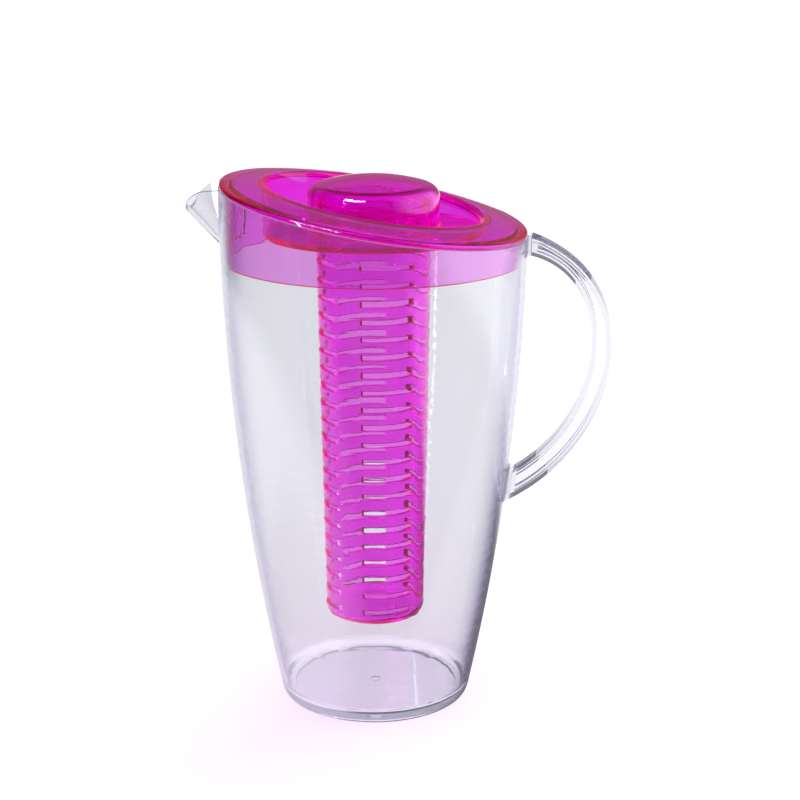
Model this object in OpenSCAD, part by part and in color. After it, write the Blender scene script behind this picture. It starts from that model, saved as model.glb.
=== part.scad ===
// Fruit infuser pitcher, millimetres, +Z up.
// The origin is the centre of the base. The spout points to -X and the handle to +X.

/* [Jug] */
// Height of the slanted rim, measured on the axis
rim_h = 221; // [200:1:240]
// Slant of the rim, high at the spout
rim_tilt = 9.5; // [6:0.5:12]
// Outer radius that the wall runs down to at the base
base_r = 42; // [38:0.5:46]
// Outer radius of the wall at the rim
rim_r = 66.4; // [63:0.1:70]
// How far the wall bows outward halfway up
belly = 5.75; // [3:0.25:8]
// Thickness of the wall
jug_wall = 2.2; // [1.8:0.1:2.6]
// Height of the rounding between the wall and the base
base_round = 4; // [3:0.5:8]
// How far the foot ring stands inside the base radius
foot_inset = 2; // [1.5:0.1:4]
// Width of the foot ring
foot_w = 3.1; // [2:0.1:5]
// Height of the foot ring under the base
foot_h = 1.4; // [0.8:0.1:2]
// Thickness of the base plate
base_t = 2.6; // [2:0.1:4]
// Radius of the moulding gate's mark under the base
gate_r = 2.4; // [1.5:0.1:4]
// Depth of that mark
gate_h = 0.5; // [0.2:0.1:0.8]

/* [Spout] */
// How far the tip stands out past the rim's radius
spout_run = 14; // [12.6:0.2:17.6]
// Fall from the rim's high side to the crest of the spout's edge
spout_crest_drop = 2.3; // [0.7:0.1:3.1]
// Height of the spout's edge, from its crest down to its tip
spout_edge_h = 12; // [11:0.2:17]
// How far past the rim's radius the edge starts to fall
spout_crest_out = 2.6; // [0:0.2:4]
// Rise of the spout's underside
spout_slope = 47; // [42:0.5:50]
// Angle from the spout's own axis to its sides
spout_spread = 29; // [27:1:34]
// Thickness of the spout's wall
spout_wall = 2; // [1.6:0.1:2.4]

/* [Handle] */
// Width of the handle, side to side
handle_w = 12.5; // [11:0.5:16]
// How far the handle's top edge stands above the rim's low side
handle_rise = 1.5; // [0.8:0.1:1.6]
// Height of the handle, from its top edge to the lower weld's bottom edge
handle_span = 117; // [111:0.5:126]
// Thickness of the handle at the upper weld
handle_top_t = 7.7; // [7:0.1:10]
// Height of the lower weld
handle_low_t = 12.2; // [11:0.2:16]
// How far out the outer curve is drawn
handle_out_pull = 41.7; // [38:0.1:46]
// How much less the inner curve is drawn out
handle_pull_step = 7.7; // [6:0.1:10]
// How far the upper weld stands out past the rim's radius
weld_top_out = 1.6; // [1.2:0.1:3.6]
// How far the lower boss stands out of the wall
weld_low_out = 2.2; // [1.6:0.1:4]
// Thickness of the two ribs along the handle
handle_rib_t = 2.3; // [1.8:0.1:2.8]
// Thickness of the web between the ribs
handle_web_t = 4.5; // [3:0.5:8]
// How much wider each boss is where it meets the wall, on each side
boss_flare = 1.6; // [1:0.2:4]

/* [Lid] */
// How far the slanted flange reaches past the rim's radius
flange_over = 0.5; // [0:0.1:1.2]
// Width of the flange, from its edge in to the recess
flange_w = 20.2; // [18:0.1:22]
// Height of the flange's face above the rim, at its edge
flange_edge_h = 2.3; // [2:0.1:3.4]
// Height of the flange's crest above the rim
flange_crest_h = 4.8; // [4:0.1:6]
// Thickness of the flange
flange_t = 2.2; // [1.8:0.1:2.6]
// Radius of the rounding on the flange's outer edge
flange_round = 1.5; // [1:0.1:1.6]
// Radius of the rounding where the flange turns down into the recess
crest_round = 2.2; // [1.5:0.1:2.5]
// How far the recess floor's edge lies inside the flange's inner edge
recess_in = 0.9; // [0.5:0.1:2]
// Slope of the recess wall
recess_draft = 2; // [1:0.5:3]
// Thickness of the recess wall
recess_wall = 1.8; // [1.4:0.1:2.2]
// Fall from the rim, on the axis, to the underside of the recess floor
floor_drop = 10; // [9:0.2:13]
// Thickness of the recess floor
floor_t = 2.2; // [1.8:0.1:2.6]
// Fall from the rim, on the axis, to the bottom edge of the skirt
skirt_drop = 21.1; // [18:0.1:27]
// Thickness of the skirt
skirt_t = 0.8; // [0.8:0.1:1.8]
// Gap between the skirt and the jug's wall
skirt_gap = 0.35; // [0.3:0.05:0.6]
// Number of pouring slots through the skirt
pour_slots = 7; // [3:2:9]
// Width of one pouring slot
pour_slot_w = 2.6; // [2:0.2:3.4]
// Height of one pouring slot
pour_slot_h = 19; // [12:1:20]
// Spacing of the pouring slots
pour_pitch = 4.8; // [4:0.2:6]
// Solid band left under the pouring slots
pour_band = 5.5; // [4:0.5:8]

/* [Infuser] */
// Height of the closed end of the tube
tube_low_h = 38; // [30:1:60]
// Outer radius of the tube just under the lid's floor
tube_top_r = 24.95; // [24:0.05:25.2]
// How much smaller that radius is at the closed end
tube_taper = 3.05; // [1:0.05:5]
// Thickness of the tube's wall
tube_wall = 2; // [1.4:0.1:2.2]
// Rounding of the closed end
tube_round = 4; // [2:0.5:6]
// Gap between the tube and the hole in the lid's floor
hole_gap = 0.45; // [0.35:0.05:0.8]
// How far the collar that rests on the lid's floor reaches past the tube
collar_reach = 4.05; // [3.65:0.05:5.05]
// Thickness of the collar
collar_t = 1.4; // [1:0.1:1.8]
// How far the neck above the collar stands inside the tube's radius
neck_in = 0.55; // [0.35:0.05:0.95]
// Height of the neck above the collar
neck_h = 9.6; // [9:0.2:12]
// Number of rows of drain slots
slot_rows = 21; // [8:1:21]
// Distance from the lid's floor down to the highest row
slot_last = 10.8; // [8:0.2:30]
// Height of one drain slot
slot_h = 2.5; // [1.8:0.1:3]
// Angle that one drain slot spans
slot_span = 56; // [40:2:64]
// Height of the lowest row above the closed end
slot_first = 6.2; // [5.6:0.1:8]
// Angle from the front to the first column of slots
slot_turn = 24; // [0:1:45]

/* [Cap] */
// How far the cap's side stands inside the collar's edge
cap_in = 0.6; // [0:0.1:0.8]
// Height from the cap's lower edge to its crown
cap_h = 20.7; // [18:0.1:24]
// Thickness of the cap
cap_wall = 2.4; // [2.2:0.1:2.5]
// Part of the cap's height that its straight side takes
cap_side_share = 0.56; // [0.5:0.01:0.6]
// Width of the rounding between the crown and the side
cap_round_w = 5.4; // [3.4:0.1:8.4]
// Fall of the crown from its centre to that rounding
cap_crown_drop = 3.3; // [2:0.1:5]
// Radius of the moulding gate's mark on the crown
cap_gate_r = 0.8; // [0.5:0.1:1.5]
// Depth of that mark
cap_gate_h = 0.4; // [0.2:0.1:0.8]
// Reach of the thread segments, on the neck and in the cap
lug_reach = 1.2; // [1:0.05:1.25]
// Thickness of one thread segment
lug_t = 1.2; // [1:0.1:1.4]
// Angle that one thread segment spans
lug_span = 50; // [30:5:60]
// Spacing of the two rows of thread segments
lug_pitch = 3.6; // [3.2:0.1:3.8]
// Height of the cap's first thread segment above its lower edge
lug_first = 1; // [0.8:0.1:1.4]
// Angle from the front to the first thread segment
lug_turn = 13; // [0:1:45]

/* [Hidden] */
$fn = 96;
// Gap between faces that rest on each other
seat_gap = 0.2;
// Gap between thread segments that hold each other
lug_gap = 0.35;
// Overrun of every cut
over = 2;
// Steps along a curved outline
curve_steps = 14;
wall_steps = 40;
edge_steps = 24;
handle_steps = 56;

// The jug's profile, and what is worked out from it
base_top = foot_h + base_t;
rim_rise = rim_r * tan(rim_tilt);
wall_top = rim_h + rim_rise + over;
foot_r = base_r - foot_inset;
foot_in_r = foot_r - foot_w;
spout_reach = rim_r + spout_run;
spout_top_h = rim_h + rim_rise - spout_crest_drop;
spout_tip_h = spout_top_h - spout_edge_h;
spout_crest_x = rim_r + spout_crest_out;

// The handle and its welds
handle_top_h = rim_h - rim_rise + handle_rise;
handle_low_h = handle_top_h - handle_span;
handle_in_pull = handle_out_pull - handle_pull_step;
weld_top_x = rim_r + weld_top_out;
weld_low_x = body_r(handle_low_h) + weld_low_out;
weld_high_h = handle_low_h + handle_low_t;
weld_high_x = body_r(weld_high_h) + weld_low_out;
// Control points of the handle's curves: share of the pull, then share of the fall
out_curve_shares = [[1.29, 0.157], [1, 0.761]];
in_curve_shares = [[1.14, 0.139], [1, 0.675]];
// Part of the handle's length that the side pockets take
pocket_start_share = 0.02;
pocket_end_share = 0.985;

// The lid
flange_r = rim_r + flange_over;
crest_in_r = flange_r - flange_w;
recess_r = crest_in_r - recess_in;
floor_h = rim_h - floor_drop;
skirt_low_h = rim_h - skirt_drop;
skirt_r = min(body_r(skirt_low_h), body_r(wall_top)) - jug_wall - skirt_gap;
flange_under_r = skirt_r - skirt_t - over;
floor_top = floor_h + floor_t;
lid_top = wall_top + flange_crest_h;
hole_r = tube_top_r + hole_gap;

// The infuser and its cap
tube_low_r = tube_top_r - tube_taper;
slot_pitch = (floor_h - slot_last - tube_low_h - slot_first) / (slot_rows - 1);
collar_r = tube_top_r + collar_reach;
neck_r = tube_top_r - neck_in;
cap_r = collar_r - cap_in;
cap_side_h = cap_h * cap_side_share;
cap_crown_r = cap_r - cap_round_w;
collar_low = floor_top + seat_gap;
collar_top = collar_low + collar_t;
neck_top = collar_top + neck_h;
cap_low = collar_top + seat_gap;
cap_in_r = cap_r - cap_wall;
cap_lug_low = cap_low + lug_first;
neck_lug_low = cap_lug_low + lug_t + lug_gap;
neck_lug_r = min(neck_r + lug_reach, cap_in_r - lug_gap);
cap_lug_r = max(cap_in_r - lug_reach, neck_r + lug_gap);
// Where the drain slots' cuts start, as a share of the closed end's radius
slot_start_share = 0.65;

// Outer radius of the jug's wall at height z
function body_r(z) =
    let (s = z / rim_h)
    base_r + (rim_r - base_r) * s + 4 * s * (1 - s) * belly;

// Outer radius of the infuser at height z, below the collar
function tube_r(z) =
    tube_low_r + (tube_top_r - tube_low_r) * (z - tube_low_h) / (floor_h - tube_low_h);

// Points of a curve with one control point
function bend(a, c, b) = [for (i = [0 : curve_steps])
    let (t = i / curve_steps) (1 - t) * (1 - t) * a + 2 * (1 - t) * t * c + t * t * b];

// One point of a curve with two control points, at the share t of its length
function sweep_at(p, t) =
    pow(1 - t, 3) * p[0] + 3 * pow(1 - t, 2) * t * p[1] + 3 * (1 - t) * t * t * p[2] + pow(t, 3) * p[3];

// Height of the flange's face above the rim plane at radius r
function face_h(r) =
    let (s = (flange_r - flange_round - r) / (flange_r - flange_round - crest_in_r - crest_round))
    flange_edge_h + (flange_crest_h - flange_edge_h) * (1.35 * s - 0.35 * s * s);

// Everything above the slanted plane that crosses the axis at height h
module above_rim(h) {
    translate([0, 0, h]) rotate([0, rim_tilt, 0])
        translate([-2 * spout_reach, -2 * spout_reach, 0])
            cube([4 * spout_reach, 4 * spout_reach, spout_reach]);
}

// An upright bar with round ends along X, as wide as w across and as tall as h
module round_slot(w, h, depth) {
    rotate([90, 0, 90]) linear_extrude(depth) union() {
        square([w, h - w], center = true);
        translate([0, (h - w) / 2]) circle(w / 2, $fn = 24);
        translate([0, (w - h) / 2]) circle(w / 2, $fn = 24);
    }
}

// The jug's outer form, up past the rim
module jug_outer() {
    wall = [for (i = [0 : wall_steps])
        let (z = base_round + (wall_top - base_round) * i / wall_steps) [body_r(z), z]];
    corner = bend([foot_r, 0], [body_r(0), 0], [body_r(base_round), base_round]);
    rotate_extrude($fn = 128)
        polygon(concat([[0, 0]], [for (i = [0 : curve_steps - 1]) corner[i]], wall, [[0, wall_top]]));
}

// The jug's hollow, up past the rim
module jug_inner() {
    start = base_top + base_round;
    top = wall_top + over;
    wall = [for (i = [0 : wall_steps])
        let (z = start + (top - start) * i / wall_steps) [body_r(z) - jug_wall, z]];
    edge_r = body_r(base_top) - jug_wall;
    corner = bend([edge_r - base_round, base_top], [edge_r, base_top], wall[0]);
    rotate_extrude($fn = 128)
        polygon(concat([[0, base_top]], [for (i = [0 : curve_steps - 1]) corner[i]], wall, [[0, top]]));
}

// The spout's cone, drawn in by inset, along its underside from inside the wall
module spout_cone(inset) {
    run = spout_reach - rim_r + jug_wall;
    length = 2 * run / cos(spout_slope);
    translate([run - spout_reach, 0, spout_tip_h - run * tan(spout_slope)])
        rotate([0, spout_slope + spout_spread - 90, 0])
            translate([0, 0, inset / sin(spout_spread)])
                cylinder(r1 = 0, r2 = length * tan(spout_spread), h = length);
}

// What lies under the spout's falling edge
module spout_edge() {
    fall = [for (i = [0 : edge_steps]) let (a = 90 * i / edge_steps)
        [-spout_crest_x - (spout_reach - spout_crest_x + over / 4) * sin(a),
         spout_tip_h + (spout_top_h - spout_tip_h) * cos(a)]];
    low = skirt_low_h - 2 * spout_wall;
    rotate([90, 0, 0]) linear_extrude(spout_reach, center = true)
        polygon(concat([[0, low], [0, spout_top_h]], fall, [[-spout_reach - over / 4, low]]));
}

// Upper boss, flared into the wall under the lid's edge
module boss_top() {
    low = handle_top_h - handle_top_t;
    hull() {
        translate([weld_top_x - seat_gap, -handle_w / 2, low]) cube([seat_gap, handle_w, handle_top_t]);
        translate([rim_r - jug_wall, -handle_w / 2 - boss_flare, low - boss_flare])
            cube([seat_gap, handle_w + 2 * boss_flare, handle_top_t]);
    }
}

// Lower boss, its face along the lower weld, flared sideways and down
module boss_low() {
    lean = atan((weld_high_x - weld_low_x) / handle_low_t);
    face = handle_low_t / cos(lean);
    translate([weld_low_x, 0, handle_low_h]) rotate([0, lean, 0]) hull() {
        translate([-seat_gap, -handle_w / 2, 0]) cube([seat_gap, handle_w, face]);
        translate([-weld_low_out - jug_wall / 2, -handle_w / 2 - boss_flare, -boss_flare])
            cube([seat_gap, handle_w + 2 * boss_flare, face + boss_flare]);
    }
}

module jug_body() {
    color([0.93, 0.93, 0.96, 0.4]) difference() {
        union() {
            jug_outer();
            intersection() {
                spout_cone(0);
                spout_edge();
            }
            boss_top();
            boss_low();
        }
        jug_inner();
        spout_cone(spout_wall);
        translate([0, 0, -over]) cylinder(r = foot_in_r, h = foot_h + over);
        cylinder(r = gate_r, h = foot_h + gate_h, $fn = 32);
        difference() {
            above_rim(rim_h);
            translate([flange_r, -handle_w, handle_low_h])
                cube([weld_top_x, 2 * handle_w, handle_span]);
        }
    }
}

// The two long curves of the handle, from the upper weld to the lower one
out_sweep = [[weld_top_x, handle_top_h],
    for (s = out_curve_shares) [weld_top_x + s[0] * handle_out_pull, handle_top_h - s[1] * handle_span],
    [weld_low_x, handle_low_h]];
in_sweep = [[weld_top_x, handle_top_h - handle_top_t],
    for (s = in_curve_shares) [weld_top_x + s[0] * handle_in_pull, handle_top_h - s[1] * handle_span],
    [weld_high_x, weld_high_h]];

// The band between the two curves, from share t0 to share t1, drawn in by inset
module handle_band(t0, t1, inset, w) {
    steps = [for (i = [0 : handle_steps]) t0 + (t1 - t0) * i / handle_steps];
    outer = [for (t = steps)
        let (a = sweep_at(out_sweep, t), b = sweep_at(in_sweep, t)) a + (b - a) * inset / norm(b - a)];
    inner = [for (i = [handle_steps : -1 : 0])
        let (a = sweep_at(out_sweep, steps[i]), b = sweep_at(in_sweep, steps[i]))
            b + (a - b) * inset / norm(b - a)];
    rotate([90, 0, 0]) linear_extrude(w, center = true) polygon(concat(outer, inner));
}

module jug_handle() {
    color([0.93, 0.93, 0.96, 0.5]) difference() {
        handle_band(0, 1, 0, handle_w);
        for (side = [-1, 1])
            translate([0, side * (handle_web_t + handle_w) / 2, 0])
                handle_band(pocket_start_share, pocket_end_share, handle_rib_t, handle_w);
    }
}

// The flange, turned about the slanted axis
module flange() {
    top = [for (i = [0 : curve_steps])
        let (r = flange_r - flange_round + (crest_in_r + crest_round - flange_r + flange_round) * i / curve_steps)
            [r, face_h(r)]];
    outer = bend([flange_r, flange_edge_h - flange_round], [flange_r, flange_edge_h - flange_round / 8], top[0]);
    crest = bend(top[curve_steps], [crest_in_r, flange_crest_h], [crest_in_r, flange_crest_h - crest_round]);
    edge_low = seat_gap;
    turn_low = flange_crest_h - crest_round - flange_t;
    turn_r = crest_in_r + recess_wall;
    under = [for (i = [0 : curve_steps])
        let (r = turn_r + crest_round + (flange_under_r - turn_r - crest_round) * i / curve_steps)
            [r, face_h(r) - flange_t]];
    turn = bend([turn_r, turn_low], [turn_r, face_h(turn_r) - flange_t], under[0]);
    translate([0, 0, rim_h]) rotate([0, rim_tilt, 0]) rotate_extrude($fn = 128)
        polygon(concat(
            [[flange_r - seat_gap, edge_low], [flange_r, edge_low + seat_gap]],
            [for (i = [0 : curve_steps - 1]) outer[i]],
            top,
            [for (i = [1 : curve_steps]) crest[i]],
            [[crest_in_r, turn_low]],
            [for (i = [0 : curve_steps - 1]) turn[i]],
            under,
            [[flange_under_r, edge_low]]));
}

// The skirt that plugs the jug
module skirt() {
    difference() {
        translate([0, 0, skirt_low_h]) cylinder(r = skirt_r, h = wall_top - skirt_low_h, $fn = 128);
        translate([0, 0, skirt_low_h - over])
            cylinder(r = skirt_r - skirt_t, h = wall_top - skirt_low_h + 2 * over, $fn = 128);
        above_rim(rim_h + flange_edge_h / 2);
        for (i = [0 : pour_slots - 1])
            translate([-skirt_r - over, (i - (pour_slots - 1) / 2) * pour_pitch,
                       skirt_low_h + pour_band + pour_slot_h / 2])
                round_slot(pour_slot_w, pour_slot_h, skirt_r / 2);
    }
}

// A cone that follows the recess wall, of radius r at the floor, from height z0 to height z1
module recess_cone(r, z0, z1) {
    translate([0, 0, z0]) cylinder(
        r1 = r + (z0 - floor_top) * tan(recess_draft),
        r2 = r + (z1 - floor_top) * tan(recess_draft),
        h = z1 - z0, $fn = 128);
}

module lid() {
    color([0.85, 0.05, 0.75, 0.6]) difference() {
        union() {
            difference() {
                recess_cone(recess_r + recess_wall, floor_h, lid_top);
                above_rim(rim_h + flange_crest_h - crest_round);
            }
            flange();
            skirt();
        }
        recess_cone(recess_r, floor_top, lid_top + over);
        translate([0, 0, floor_h - over]) cylinder(r = hole_r, h = floor_t + 2 * over);
    }
}

// A thread segment between two radii, from height z, centred on angle a
module lug(r_in, r_out, z, a) {
    rotate([0, 0, a - lug_span / 2]) translate([0, 0, z])
        rotate_extrude(angle = lug_span) translate([r_in, 0]) square([r_out - r_in, lug_t]);
}

// Both rows of thread segments, front and back
module lugs(r_in, r_out, z) {
    for (row = [0, 1]) for (a = [90, 270])
        lug(r_in, r_out, z + row * lug_pitch, a + lug_turn);
}

module infuser_tube() {
    end = tube_low_h;
    in_low = end + tube_wall;
    corner = bend([tube_low_r - tube_round, end], [tube_low_r, end], [tube_r(end + tube_round), end + tube_round]);
    in_corner = bend([tube_low_r - tube_round, in_low], [tube_low_r - tube_wall, in_low],
        [tube_r(end + tube_round) - tube_wall, end + tube_round]);
    color([0.85, 0.05, 0.75, 0.6]) {
        difference() {
            rotate_extrude() polygon(concat(
                [[0, end]], corner,
                [[tube_top_r, floor_h], [tube_top_r, collar_low], [collar_r, collar_low],
                 [collar_r, collar_top], [neck_r, collar_top], [neck_r, neck_top],
                 [neck_r - tube_wall, neck_top], [neck_r - tube_wall, floor_top],
                 [tube_top_r - tube_wall, floor_h]],
                [for (i = [curve_steps : -1 : 0]) in_corner[i]],
                [[0, in_low]]));
            for (row = [0 : slot_rows - 1])
                let (z = end + slot_first + row * slot_pitch, w = 2 * tube_r(z) * sin(slot_span / 2))
                    for (turn = [0 : 90 : 270])
                        rotate([0, 0, turn - 90 + slot_turn])
                            translate([tube_low_r * slot_start_share, -w / 2, z - slot_h / 2])
                                cube([tube_top_r, w, slot_h]);
        }
        lugs(neck_r - tube_wall / 2, neck_lug_r, neck_lug_low);
    }
}

module dome_cap() {
    crown = cap_low + cap_h;
    steps = [for (i = [0 : curve_steps]) cap_crown_r * i / curve_steps];
    outer_top = [for (r = steps) [r, crown - cap_crown_drop * pow(r / cap_crown_r, 2)]];
    edge_h = crown - cap_crown_drop;
    slope = 2 * cap_crown_drop / cap_crown_r;
    outer_edge = bend([cap_crown_r, edge_h], [cap_r, edge_h - slope * (cap_r - cap_crown_r)],
        [cap_r, cap_low + cap_side_h]);
    inner_edge = bend([cap_crown_r, edge_h - cap_wall],
        [cap_in_r, edge_h - cap_wall - slope * (cap_in_r - cap_crown_r)],
        [cap_in_r, cap_low + cap_side_h]);
    color([0.85, 0.05, 0.75, 0.6]) {
        difference() {
            rotate_extrude() polygon(concat(
                outer_top,
                [for (i = [1 : curve_steps]) outer_edge[i]],
                [[cap_r, cap_low], [cap_in_r, cap_low]],
                [for (i = [curve_steps : -1 : 1]) inner_edge[i]],
                [for (i = [curve_steps : -1 : 0]) outer_top[i] - [0, cap_wall]]));
            translate([0, 0, crown - cap_gate_h]) cylinder(r = cap_gate_r, h = cap_gate_h + over, $fn = 32);
        }
        lugs(cap_lug_r, cap_in_r + cap_wall / 2, cap_lug_low);
    }
}

jug_body();
jug_handle();
lid();
infuser_tube();
dome_cap();
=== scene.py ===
"""Fruit infuser pitcher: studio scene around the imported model."""

import logging
import math
from dataclasses import dataclass, replace
from enum import Enum

import bpy
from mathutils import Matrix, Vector

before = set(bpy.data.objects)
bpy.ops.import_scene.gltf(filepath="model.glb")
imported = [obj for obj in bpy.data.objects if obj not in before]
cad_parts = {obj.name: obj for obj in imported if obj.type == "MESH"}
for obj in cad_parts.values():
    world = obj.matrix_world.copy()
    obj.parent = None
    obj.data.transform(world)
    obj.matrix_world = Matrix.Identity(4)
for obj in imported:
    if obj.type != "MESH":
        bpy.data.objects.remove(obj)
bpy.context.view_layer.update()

MM = 0.001
# How much the jug's slanted rim falls per mm towards the handle
RIM_LEAN = 0.16734
WHITE = (1.0, 1.0, 1.0, 1.0)
# Places of the Mix node's sockets, because their names repeat for every data type
FLOAT_A, FLOAT_B = 2, 3
COLOUR_A, COLOUR_B, COLOUR_RESULT = 6, 7, 2
log = logging.getLogger("pitcher")

Colour = tuple[float, float, float, float]
Place = tuple[float, float, float]
Ramp = tuple[tuple[float, float], tuple[float, float]]
Level = bpy.types.NodeSocket | float


class Curve(Enum):
    """How a level runs between its two ends."""

    STRAIGHT = "LINEAR"
    SOFT = "SMOOTHSTEP"
    SOFTER = "SMOOTHERSTEP"


class Lamp(Enum):
    """Which soft box a lamp is."""

    KEY = "key_softbox"
    STRIP = "strip_softbox"
    RIM = "rim_softbox"


def linear(hex_colour: str) -> Colour:
    """Turn an sRGB hex colour to the linear values that Blender's sockets hold.

    Args:
        hex_colour: Six hex digits, without a hash.

    Returns:
        Linear red, green, blue and an alpha of 1.
    """
    channels = [int(hex_colour[i:i + 2], 16) / 255 for i in (0, 2, 4)]
    toe, slope, offset, power = 0.04045, 12.92, 0.055, 2.4
    values = [c / slope if c <= toe else ((c + offset) / (1 + offset)) ** power for c in channels]
    return (values[0], values[1], values[2], 1.0)


def add_node(
    tree: bpy.types.NodeTree,
    kind: str,
    settings: dict[str, object] | None = None,
    inputs: dict[str | int, object] | None = None,
) -> bpy.types.Node:
    """Add one node with its settings, socket values and links.

    Args:
        tree: The node tree that takes it.
        kind: Blender's identifier of the node.
        settings: Attributes to set on the node.
        inputs: Socket name or place to a value, or to an output socket that is linked to it.

    Returns:
        The new node.
    """
    node = tree.nodes.new(kind)
    for name, value in (settings or {}).items():
        setattr(node, name, value)
    for key, value in (inputs or {}).items():
        if isinstance(value, bpy.types.NodeSocket):
            tree.links.new(value, node.inputs[key])
        else:
            node.inputs[key].default_value = value
    return node


def calc(tree: bpy.types.NodeTree, operation: str, *values: Level) -> bpy.types.NodeSocket:
    """Add a maths node.

    Args:
        tree: The node tree that takes it.
        operation: Blender's name of the operation.
        *values: The numbers or sockets that it works on, in order.

    Returns:
        The socket with the result.
    """
    return add_node(tree, "ShaderNodeMath", {"operation": operation}, dict(enumerate(values))).outputs[0]


def ramp(
    tree: bpy.types.NodeTree,
    value: bpy.types.NodeSocket,
    start: tuple[float, float],
    end: tuple[float, float],
    curve: Curve = Curve.STRAIGHT,
) -> bpy.types.NodeSocket:
    """Add a node that runs from one level to another as a value grows.

    Args:
        tree: The node tree that takes it.
        value: The socket with the value.
        start: The value at which the run starts, and the level up to it.
        end: The value at which the run ends, and the level from it on.
        curve: How the level runs between them.

    Returns:
        The socket with the level.
    """
    run = add_node(tree, "ShaderNodeMapRange", {"interpolation_type": curve.value}, {
        "Value": value, "From Min": start[0], "From Max": end[0], "To Min": start[1], "To Max": end[1]})
    return run.outputs[0]


def between(tree: bpy.types.NodeTree, share: Level, first: Level, second: Level) -> bpy.types.NodeSocket:
    """Add a node that goes from one level to another with a share.

    Args:
        tree: The node tree that takes it.
        share: The share of the second.
        first: The first level.
        second: The second level.

    Returns:
        The socket with the level.
    """
    mix = add_node(tree, "ShaderNodeMix", {}, {"Factor": share, FLOAT_A: first, FLOAT_B: second})
    return mix.outputs[0]


def split(tree: bpy.types.NodeTree, vector: bpy.types.NodeSocket) -> list[bpy.types.NodeSocket]:
    """Add a node that takes a vector apart.

    Args:
        tree: The node tree that takes it.
        vector: The socket with the vector.

    Returns:
        The sockets with its X, Y and Z.
    """
    return list(add_node(tree, "ShaderNodeSeparateXYZ", {}, {0: vector}).outputs)


def shine(tree: bpy.types.NodeTree, colour: Colour, strength: Level) -> bpy.types.NodeSocket:
    """Add a shader that gives light.

    Args:
        tree: The node tree that takes it.
        colour: The light's linear colour.
        strength: Its strength.

    Returns:
        The socket with the shader.
    """
    return add_node(tree, "ShaderNodeEmission", {}, {"Color": colour, "Strength": strength}).outputs[0]


def both(
    tree: bpy.types.NodeTree, first: bpy.types.NodeSocket, second: bpy.types.NodeSocket
) -> bpy.types.NodeSocket:
    """Add a node that adds one shader to another.

    Args:
        tree: The node tree that takes it.
        first: The first shader.
        second: The second shader.

    Returns:
        The socket with the shader.
    """
    return add_node(tree, "ShaderNodeAddShader", {}, {0: first, 1: second}).outputs[0]


def blend(
    tree: bpy.types.NodeTree, share: Level, first: bpy.types.NodeSocket, second: bpy.types.NodeSocket
) -> bpy.types.NodeSocket:
    """Add a node that goes from one shader to another with a share.

    Args:
        tree: The node tree that takes it.
        share: The share of the second.
        first: The first shader.
        second: The second shader.

    Returns:
        The socket with the shader.
    """
    return add_node(tree, "ShaderNodeMixShader", {}, {0: share, 1: first, 2: second}).outputs[0]


def empty_material(name: str) -> bpy.types.Material:
    """Make a material with an empty node tree.

    Args:
        name: The material's name.

    Returns:
        The new material.
    """
    material = bpy.data.materials.new(name)
    material.use_nodes = True
    material.node_tree.nodes.clear()
    return material


def dress(node: str, material: bpy.types.Material) -> None:
    """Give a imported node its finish.

    Args:
        node: The node's name.
        material: The material for all its faces.
    """
    slots = bpy.data.objects[node].data.materials
    slots.clear()
    slots.append(material)
    log.info("%s wears %s", node, material.name)


@dataclass(frozen=True)
class Rim:
    """A cut edge that lies along a plane: a painted line of light and shade runs round it.

    Attributes:
        lean: How much the plane falls per mm towards the handle.
        height_mm: The plane's height on the axis.
        half_mm: Half the line's height.
    """

    lean: float
    height_mm: float
    half_mm: float

    def mask(self, tree: bpy.types.NodeTree, place: bpy.types.NodeSocket) -> bpy.types.NodeSocket:
        """Add nodes that are 1 on the line and 0 elsewhere.

        Args:
            tree: The node tree that takes them.
            place: The place on the piece.

        Returns:
            The socket with the result.
        """
        x, _, z = split(tree, place)
        level = calc(tree, "MULTIPLY_ADD", x, self.lean, z)
        return calc(tree, "COMPARE", level, self.height_mm * MM, self.half_mm * MM)


@dataclass(frozen=True)
class SpoutLip:
    """The spout's cut edge and its keel, which both face up or down and not sideways: a painted line
    runs on them.

    Attributes:
        from_mm: How far from the axis the spout starts.
        turn: The most that such a face turns sideways, as the Y of its normal.
    """

    from_mm: float
    turn: float = 0.04

    def mask(self, tree: bpy.types.NodeTree, place: bpy.types.NodeSocket) -> bpy.types.NodeSocket:
        """Add nodes that are 1 on the lip and 0 elsewhere.

        Args:
            tree: The node tree that takes them.
            place: The place on the piece.

        Returns:
            The socket with the result.
        """
        x, _, _ = split(tree, place)
        out = calc(tree, "LESS_THAN", x, -self.from_mm * MM)
        face = add_node(tree, "ShaderNodeNewGeometry")
        _, sideways, _ = split(tree, face.outputs["True Normal"])
        return calc(tree, "MULTIPLY", out, calc(tree, "COMPARE", sideways, 0.0, self.turn))


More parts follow.
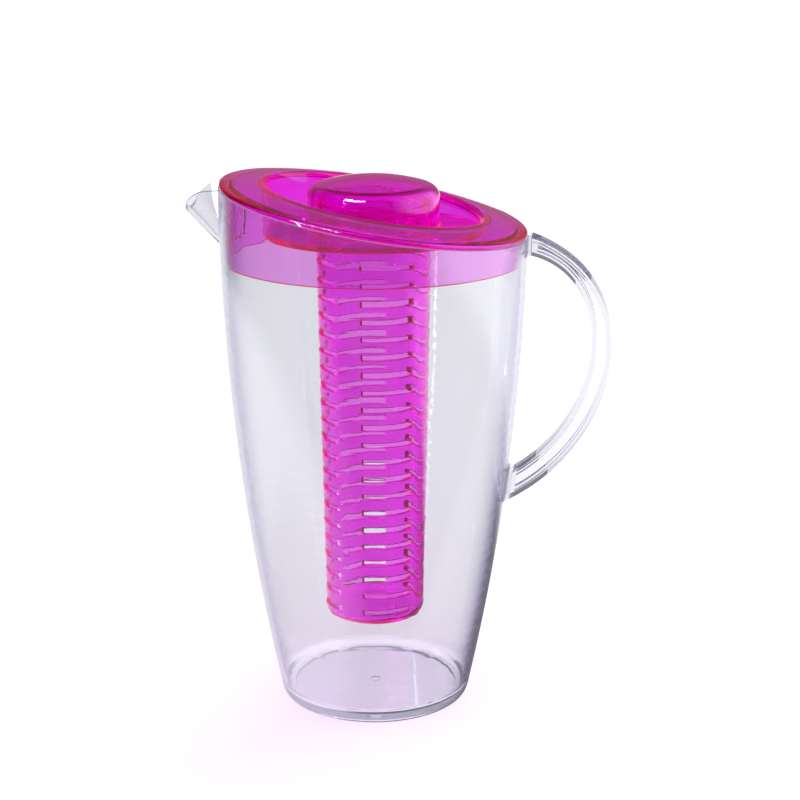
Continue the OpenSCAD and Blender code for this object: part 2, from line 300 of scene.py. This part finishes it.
@dataclass(frozen=True)
class Weld:
    """A weld between two mouldings, inside which most light runs straight on.

    Attributes:
        reach_mm: How far the weld's plane is from the axis, at the height of the base.
        lean: How much that grows per mm of height.
        low_mm: The height at which the weld starts.
        high_mm: The height at which it ends.
        depth_mm: How deep the fused zone goes behind the plane.
        over_mm: How far it stands out in front of the plane.
        share: The share of light that runs straight on.
    """

    reach_mm: float
    lean: float
    low_mm: float
    high_mm: float
    depth_mm: float = 1.8
    over_mm: float = 0.06
    share: float = 0.8

    def mask(self, tree: bpy.types.NodeTree, place: bpy.types.NodeSocket) -> bpy.types.NodeSocket:
        """Add nodes that are the share inside the fused zone and 0 elsewhere.

        Args:
            tree: The node tree that takes them.
            place: The place on the piece.

        Returns:
            The socket with the result.
        """
        x, _, z = split(tree, place)
        middle = calc(
            tree, "MULTIPLY_ADD", z, self.lean, (self.reach_mm - self.depth_mm / 2 + self.over_mm) * MM)
        near = calc(tree, "COMPARE", x, middle, self.depth_mm / 2 * MM)
        level = calc(
            tree, "COMPARE", z,
            (self.low_mm + self.high_mm) / 2 * MM, (self.high_mm - self.low_mm) / 2 * MM)
        return calc(tree, "MULTIPLY", calc(tree, "MULTIPLY", near, level), self.share)


@dataclass(frozen=True)
class MouldedPlastic:
    """A polished, injection-moulded clear or dyed plastic that light passes through.

    The eye reads it by five things: the gloss of the polished mould, the dye or tint that
    deepens with the length of the light's way through the wall, the tone of the wall where it
    turns away, painted as shade at the outline, the line of light that a cut edge gathers,
    painted as a flat emitting colour, and the faint waviness that the melt's flow leaves. A
    painted glow of the dye's colour shines at the outline and inside the plastic, though it is
    no lamp. Where two mouldings are welded, most light runs straight on.

    Attributes:
        name: The material's name.
        face_hex: Tone of the wall where it faces the eye.
        painted_edge_hex: Painted shade of the wall at its outline, where it turns away from the eye.
        edge_start: How far the wall has turned away where its painted shade and glow start, 0 to 1.
        depth_hex: Tint that the plastic's depth gives.
        depth_per_m: How fast the tint deepens.
        shade_hex: Tint of the light that the wall lets through to the floor.
        painted_line_hex: Colour of the painted line on a cut edge, a flat emission in place of its light
            and shade.
        painted_line_share: The painted line's share of the edge's shading.
        cuts: The cut edges that get the painted line.
        painted_glow_hex: Colour of the painted glow, an emission that stands in for the light that the
            dye gives back.
        painted_glow_strength: The painted glow's strength on the wall's outline.
        painted_glow_per_m: Its strength inside the plastic, whose volume glows though it is no lamp.
        welds: The welds to another moulding.
        ior: Refractive index, 1.57 for SAN.
        roughness: Roughness of the polished mould.
        flow_mm: Length of one ripple of the flow.
        flow_strength: Strength of the ripples.
    """

    name: str
    face_hex: str
    painted_edge_hex: str
    edge_start: float
    depth_hex: str
    depth_per_m: float
    shade_hex: str
    painted_line_hex: str
    painted_glow_hex: str
    painted_glow_per_m: float
    painted_glow_strength: float = 0.0
    painted_line_share: float = 0.6
    cuts: tuple[Rim | SpoutLip, ...] = ()
    welds: tuple[Weld, ...] = ()
    ior: float = 1.57
    roughness: float = 0.02
    flow_mm: float = 26.0
    flow_strength: float = 0.004

    def material(self) -> bpy.types.Material:
        """Build the node material.

        Returns:
            The finished material.
        """
        made = empty_material(self.name)
        tree = made.node_tree
        place = add_node(tree, "ShaderNodeTexCoord").outputs["Object"]
        lit = self.wall(tree, place)
        # Painted line on each cut edge: a flat emitting colour stands in for the light that runs inside
        # the wall and gathers there
        line = shine(tree, linear(self.painted_line_hex), 1.0)
        for cut in self.cuts:
            lit = blend(tree, calc(tree, "MULTIPLY", cut.mask(tree, place), self.painted_line_share), lit, line)
        # Light from the lamps passes on through the wall, tinted by it
        passing = add_node(tree, "ShaderNodeBsdfTransparent", {}, {"Color": linear(self.shade_hex)})
        path = add_node(tree, "ShaderNodeLightPath").outputs
        through = calc(tree, "MAXIMUM", path["Is Shadow Ray"], path["Is Diffuse Ray"])
        for weld in self.welds:
            through = calc(tree, "MAXIMUM", weld.mask(tree, place), through)
        depth = add_node(tree, "ShaderNodeVolumeAbsorption", {}, {
            "Color": linear(self.depth_hex), "Density": self.depth_per_m})
        # Painted glow: besides its depth tint the plastic's volume emits the glow colour, though it is
        # no lamp
        add_node(tree, "ShaderNodeOutputMaterial", {}, {
            "Surface": blend(tree, through, lit, passing.outputs[0]),
            "Volume": both(tree, depth.outputs[0], shine(tree, linear(self.painted_glow_hex), self.painted_glow_per_m))})
        return made

    def wall(self, tree: bpy.types.NodeTree, place: bpy.types.NodeSocket) -> bpy.types.NodeSocket:
        """Add the shader of the polished wall.

        Args:
            tree: The node tree that takes the nodes.
            place: The place on the piece.

        Returns:
            The socket with the shader.
        """
        # Flow waviness: one slow ripple every flow_mm of wall
        ripple = add_node(tree, "ShaderNodeTexNoise", {"noise_dimensions": "3D"}, {
            "Vector": place, "Scale": 1 / (self.flow_mm * MM), "Detail": 2.0})
        bump = add_node(tree, "ShaderNodeBump", {}, {
            "Height": ripple.outputs[0], "Strength": self.flow_strength, "Distance": 1.0 * MM})
        # How far the wall turns away from the eye: 0 face on, 1 at its outline
        turned = add_node(tree, "ShaderNodeLayerWeight", {}, {"Blend": 0.5}).outputs["Facing"]
        edge = ramp(tree, turned, (self.edge_start, 0.0), (1.0, 1.0), Curve.SOFTER)
        # Painted shade: the wall's colour turns from its face tone to the darker outline tone as it
        # turns away from the eye
        tone = add_node(tree, "ShaderNodeMix", {"data_type": "RGBA"}, {
            "Factor": edge, COLOUR_A: linear(self.face_hex), COLOUR_B: linear(self.painted_edge_hex)})
        shell = add_node(tree, "ShaderNodeBsdfPrincipled", {}, {
            "Base Color": tone.outputs[COLOUR_RESULT], "Roughness": self.roughness, "IOR": self.ior,
            "Transmission Weight": 1.0, "Normal": bump.outputs["Normal"]})
        # Painted glow: an emission on the outline stands in for the light that the dye gathers and gives
        # back at the edges
        painted_outline_glow = calc(tree, "MULTIPLY", edge, self.painted_glow_strength)
        return both(tree, shell.outputs[0], shine(tree, linear(self.painted_glow_hex), painted_outline_glow))


# SAN, clear, moulded against a polished steel tool: near-white, with a painted violet-grey shade at its
# outline, painted violet-grey lines on its rim and spout lip and a faint painted pale glow inside
CLEAR_SAN = MouldedPlastic(
    "clear_moulded_san", face_hex="F6F6F9", painted_edge_hex="8C88B0", edge_start=0.38,
    depth_hex="A8A6B6", depth_per_m=34.0, shade_hex="FCFCFE", painted_line_hex="9C9ABE",
    painted_glow_hex="ECE8F6", painted_glow_per_m=10.0,
    cuts=(Rim(RIM_LEAN, 221.0, 0.25), SpoutLip(66.9)),
    welds=(Weld(68.0, 0.0, 190.0, 215.0), Weld(48.938, 0.11984, 90.0, 110.0)))
# The handle's ribs turn away from the eye all along it, so their painted outline shade is darker and
# starts sooner
HANDLE_SAN = replace(CLEAR_SAN, name="clear_moulded_san_handle", painted_edge_hex="6E6A9C", edge_start=0.32)
# SAN with a magenta dye: its green goes first, then its blue; a red glow is painted on its outline and
# inside it, and a crimson line on its cut edge
TINTED_SAN = MouldedPlastic(
    "magenta_moulded_san", face_hex="F9F4FA", painted_edge_hex="E878C0", edge_start=0.5,
    depth_hex="FE00FC", depth_per_m=1000.0, shade_hex="FEFAFC", painted_line_hex="D02858",
    painted_glow_hex="E02838", painted_glow_per_m=8.0, painted_glow_strength=0.14,
    cuts=(Rim(0.0, 199.9, 0.4),))
# The infuser's wall takes less of the dye than the lid and the cap
INFUSER_SAN = replace(
    TINTED_SAN, name="light_magenta_moulded_san", face_hex="FFFAFF", depth_per_m=700.0, cuts=())


@dataclass
class Jug:
    """The clear jug with its welded handle."""

    finish: MouldedPlastic = CLEAR_SAN
    handle_finish: MouldedPlastic = HANDLE_SAN

    def build(self) -> None:
        """Dress the body and the handle in clear plastic."""
        dress("jug_body", self.finish.material())
        dress("jug_handle", self.handle_finish.material())


@dataclass
class LidSet:
    """The tinted lid with the infuser tube and the domed cap."""

    finish: MouldedPlastic = TINTED_SAN
    infuser_finish: MouldedPlastic = INFUSER_SAN

    def build(self) -> None:
        """Dress the three tinted mouldings."""
        material = self.finish.material()
        for node in ("lid", "dome_cap"):
            dress(node, material)
        dress("infuser_tube", self.infuser_finish.material())


def mirrored(tree: bpy.types.NodeTree) -> bpy.types.NodeSocket:
    """Add nodes that are 1 for rays that one glossy face has thrown back and 0 for the rest.

    Args:
        tree: The node tree that takes them.

    Returns:
        The socket with the result.
    """
    path = add_node(tree, "ShaderNodeLightPath").outputs
    return calc(tree, "COMPARE", path["Glossy Depth"], 1.0, 0.5)


@dataclass(frozen=True)
class PaintedDarkSector:
    """A dark sector painted into the studio's reflections: floor and tent are dark there only for rays
    that one glossy face has thrown back.

    Attributes:
        turn: The sector's middle, in degrees from the front towards the handle.
        near_turn: The same on the floor close to the pitcher.
        near_m: How far out on the floor it starts to turn.
        far_m: How far out it has turned.
        half: Half the sector's full width, in degrees.
        soft: The width of its soft edge, in degrees.
        tone: The painted dark sector's brightness.
    """

    turn: float = -36.5
    near_turn: float = 80.0
    near_m: float = 0.10
    far_m: float = 0.90
    half: float = 76.0
    soft: float = 34.0
    tone: float = 0.08

    def mask(
        self, tree: bpy.types.NodeTree, vector: bpy.types.NodeSocket, turn: Level
    ) -> bpy.types.NodeSocket:
        """Add nodes that are 1 where a glossy face shows the sector and 0 elsewhere.

        Args:
            tree: The node tree that takes them.
            vector: A place or a direction seen from the pitcher.
            turn: The sector's middle, in radians from the front towards the handle.

        Returns:
            The socket with the result.
        """
        x, y, _ = split(tree, vector)
        angle = calc(tree, "ARCTAN2", x, calc(tree, "MULTIPLY", y, -1.0))
        off = calc(tree, "ABSOLUTE", calc(tree, "SUBTRACT", angle, turn))
        inner = math.radians(self.half)
        outer = inner + math.radians(self.soft)
        sector = ramp(tree, off, (inner, 1.0), (outer, 0.0), Curve.SOFT)
        return calc(tree, "MULTIPLY", sector, mirrored(tree))


@dataclass(frozen=True)
class Floor:
    """A pale floor that stays white to the eye and keeps the soft shadow; through the plastic it has
    painted light, and in the gloss a painted dark sector.

    Attributes:
        size_m: The length of its sides.
        paper_hex: The paper's colour.
        lift: How much lighter the eye sees it.
        painted_side_lift: The same through plastic, on the spout's side and on the handle's: painted
            light, lighter towards the handle.
        painted_side_m: How far from the axis each of those is reached.
        painted_pool_lift: How much lighter still the patch under the clear base is: a painted pool of
            light.
        painted_pool_m: How far from the axis the patch starts to end, and has ended.
    """

    size_m: float = 12.0
    paper_hex: str = "F4F4F6"
    lift: float = 0.15
    painted_side_lift: tuple[float, float] = (-0.05, 0.20)
    painted_side_m: float = 0.12
    painted_pool_lift: float = 0.34
    painted_pool_m: tuple[float, float] = (0.042, 0.060)

    def build(self, dark: PaintedDarkSector) -> None:
        """Lay the floor.

        Args:
            dark: The dark sector painted into the studio's reflections.
        """
        bpy.ops.mesh.primitive_plane_add(size=self.size_m, location=(0, 0, 0))
        floor = bpy.context.object
        floor.name = "studio_floor"
        made = empty_material("studio_floor_paper")
        tree = made.node_tree
        place = add_node(tree, "ShaderNodeTexCoord").outputs["Object"]
        reach = add_node(tree, "ShaderNodeVectorMath", {"operation": "LENGTH"}, {0: place})
        away = reach.outputs["Value"]
        paper = add_node(tree, "ShaderNodeBsdfDiffuse", {}, {"Color": linear(self.paper_hex)}).outputs[0]
        lit = both(tree, paper, shine(tree, WHITE, self.lightening(tree, place, away)))
        # In the gloss the painted dark sector turns from the handle's side close to the pitcher to
        # the spout's side and the front further out
        turn = ramp(
            tree, away,
            (dark.near_m, math.radians(dark.near_turn)), (dark.far_m, math.radians(dark.turn)))
        add_node(tree, "ShaderNodeOutputMaterial", {}, {"Surface": blend(
            tree, dark.mask(tree, place, turn), blend(tree, self.seen(tree), paper, lit),
            shine(tree, WHITE, dark.tone))})
        floor.data.materials.append(made)

    def lightening(
        self, tree: bpy.types.NodeTree, place: bpy.types.NodeSocket, away: bpy.types.NodeSocket
    ) -> bpy.types.NodeSocket:
        """Add nodes that say how much lighter than its paper the floor looks.

        Args:
            tree: The node tree that takes them.
            place: The place on the floor.
            away: Its distance from the axis.

        Returns:
            The socket with the result.
        """
        # Painted pool of light: the patch that the clear base stands over is lit up by an emission, in
        # place of the light the base gathers there
        painted_pool = ramp(tree, away, (self.painted_pool_m[0], self.painted_pool_lift), (self.painted_pool_m[1], 0.0), Curve.SOFT)
        # Painted light: through the plastic the floor is plainer, and painted lighter towards the handle
        low, high = (lift - self.lift for lift in self.painted_side_lift)
        x, _, _ = split(tree, place)
        side = ramp(tree, x, (-self.painted_side_m, low), (self.painted_side_m, high), Curve.SOFT)
        path = add_node(tree, "ShaderNodeLightPath").outputs
        return calc(
            tree, "MULTIPLY_ADD", path["Is Transmission Ray"], calc(tree, "ADD", painted_pool, side), self.lift)

    @staticmethod
    def seen(tree: bpy.types.NodeTree) -> bpy.types.NodeSocket:
        """Add nodes that are 1 for rays by which the eye sees the floor.

        Args:
            tree: The node tree that takes them.

        Returns:
            The socket with the result.
        """
        path = add_node(tree, "ShaderNodeLightPath").outputs
        bare = calc(tree, "MAXIMUM", path["Is Camera Ray"], path["Is Glossy Ray"])
        return calc(tree, "MAXIMUM", bare, path["Is Transmission Ray"])


@dataclass(frozen=True)
class Tent:
    """A white tent round the pitcher, greyer at the sides and overhead only in what the plastic reflects
    and lets through: painted reflection, as the eye and the floor's light see it plain white.

    Each run is two pairs: how far out to a side or up, from 0 to 1, and the tone there.

    Attributes:
        colour: The tent's linear colour.
        spout_wall: The tone towards the spout.
        handle_wall: The tone towards the handle.
        roof: The tone overhead.
        painted_sheen: The painted tone in the gloss, where the handle's side shines and the far end is
            dim.
    """

    colour: Colour = (0.97, 0.97, 1.0, 1.0)
    spout_wall: Ramp = ((-0.75, 0.2), (-0.22, 1.0))
    handle_wall: Ramp = ((0.22, 1.0), (0.75, 0.7))
    roof: Ramp = ((0.35, 1.0), (0.9, 0.5))
    painted_sheen: Ramp = ((0.3, 0.2), (0.8, 2.0))

    def build(self, dark: PaintedDarkSector) -> None:
        """Hang the tent.

        Args:
            dark: The dark sector painted into the studio's reflections.
        """
        world = bpy.data.worlds.new("studio_tent")
        bpy.context.scene.world = world
        world.use_nodes = True
        tree = world.node_tree
        tree.nodes.clear()
        way = add_node(tree, "ShaderNodeTexCoord").outputs["Generated"]
        x, _, z = split(tree, way)
        # Painted reflection: these greyer tones reach only the rays that the plastic reflects and lets
        # through
        sides = calc(tree, "MULTIPLY", ramp(tree, x, *self.spout_wall), ramp(tree, x, *self.handle_wall))
        tone = calc(tree, "MULTIPLY", sides, ramp(tree, z, *self.roof))
        # Painted reflection: once thrown back by a glossy face, the tent shows a dark sector and a sheen
        gap = dark.mask(tree, way, math.radians(dark.turn))
        gloss = between(tree, gap, ramp(tree, x, *self.painted_sheen, Curve.SOFT), dark.tone)
        kept = between(tree, mirrored(tree), 1.0, gloss)
        tent = add_node(tree, "ShaderNodeBackground", {}, {
            "Color": self.colour, "Strength": calc(tree, "MULTIPLY", tone, kept)})
        white = add_node(tree, "ShaderNodeBackground", {}, {"Color": WHITE, "Strength": 1.0})
        path = add_node(tree, "ShaderNodeLightPath").outputs
        plain = calc(tree, "MAXIMUM", path["Is Camera Ray"], path["Is Diffuse Ray"])
        add_node(tree, "ShaderNodeOutputWorld", {}, {
            "Surface": blend(tree, plain, tent.outputs[0], white.outputs[0])})


@dataclass(frozen=True)
class SoftBox:
    """A rectangular lamp.

    Attributes:
        lamp: Which soft box.
        place: Its centre, in metres.
        size: Its width and height, in metres.
        power: Its power, in watts.
        aim: The place that it faces, in metres: the pitcher's middle.
    """

    lamp: Lamp
    place: Place
    size: tuple[float, float]
    power: float
    aim: Place = (0.0, 0.0, 0.15)

    def build(self) -> None:
        """Hang the soft box."""
        data = bpy.data.lights.new(self.lamp.value, "AREA")
        data.shape = "RECTANGLE"
        data.size, data.size_y = self.size
        data.energy = self.power
        obj = bpy.data.objects.new(self.lamp.value, data)
        # The rim box only casts the soft shadow, the others only shine in the gloss
        obj.visible_diffuse = self.lamp is Lamp.RIM
        obj.visible_glossy = self.lamp is not Lamp.RIM
        obj.visible_transmission = self.lamp is not Lamp.RIM
        obj.location = self.place
        way = Vector(self.aim) - Vector(self.place)
        obj.rotation_euler = way.to_track_quat("-Z", "Y").to_euler()
        bpy.context.collection.objects.link(obj)


@dataclass(frozen=True)
class StudioCamera:
    """The camera, where the photograph was taken from. Its angles are in degrees.

    Attributes:
        back_m: How far from the axis it stands.
        up_m: How high it stands.
        turn: How far round the pitcher it stands, from the front towards the handle.
        pan: How far it looks past the axis.
        dip: How far it looks down.
        focal_px: The focal length, in pixels of the picture.
        picture_px: The picture's width.
        sensor_mm: The sensor's width.
    """

    back_m: float = 0.7897
    up_m: float = 0.3610
    turn: float = 8.0
    pan: float = 0.821
    dip: float = 15.908
    focal_px: float = 1862.4
    picture_px: float = 800.0
    sensor_mm: float = 36.0

    def build(self) -> None:
        """Stand the camera up and look through it."""
        data = bpy.data.cameras.new("studio_camera")
        data.sensor_width = self.sensor_mm
        data.lens = self.focal_px / self.picture_px * self.sensor_mm
        camera = bpy.data.objects.new("studio_camera", data)
        turn = math.radians(self.turn)
        camera.location = (self.back_m * math.sin(turn), -self.back_m * math.cos(turn), self.up_m)
        camera.rotation_euler = (math.radians(90 - self.dip), 0, math.radians(self.turn - self.pan))
        bpy.context.collection.objects.link(camera)
        bpy.context.scene.camera = camera


@dataclass
class Studio:
    """Floor, white surroundings, soft boxes and the camera."""

    dark: PaintedDarkSector = PaintedDarkSector()
    floor: Floor = Floor()
    tent: Tent = Tent()
    soft_boxes: tuple[SoftBox, ...] = (
        SoftBox(Lamp.KEY, (-0.55, -0.9, 1.25), (0.90, 0.42), 30.0),
        SoftBox(Lamp.STRIP, (-0.9, -0.9, 0.35), (0.05, 0.9), 5.0),
        SoftBox(Lamp.RIM, (0.5, 0.9, 1.1), (0.7, 0.4), 4.0),
    )
    camera: StudioCamera = StudioCamera()
    # Light crosses many clear walls before it leaves the pitcher
    bounces: int = 40
    gloss_bounces: int = 12

    def build(self) -> None:
        """Make everything round the pitcher."""
        self.floor.build(self.dark)
        self.tent.build(self.dark)
        for soft_box in self.soft_boxes:
            soft_box.build()
        self.camera.build()
        bpy.context.scene.view_settings.view_transform = "Standard"
        cycles = bpy.context.scene.cycles
        cycles.max_bounces = self.bounces
        cycles.transmission_bounces = self.bounces
        cycles.glossy_bounces = self.gloss_bounces
        cycles.transparent_max_bounces = self.bounces
        cycles.caustics_refractive = False
        cycles.caustics_reflective = False


def main() -> None:
    """Build the sub-assemblies and the studio in order."""
    logging.basicConfig(level=logging.INFO)
    for part in (Jug(), LidSet(), Studio()):
        part.build()
        log.info("built %s", type(part).__name__)


if __name__ == "__main__":
    main()
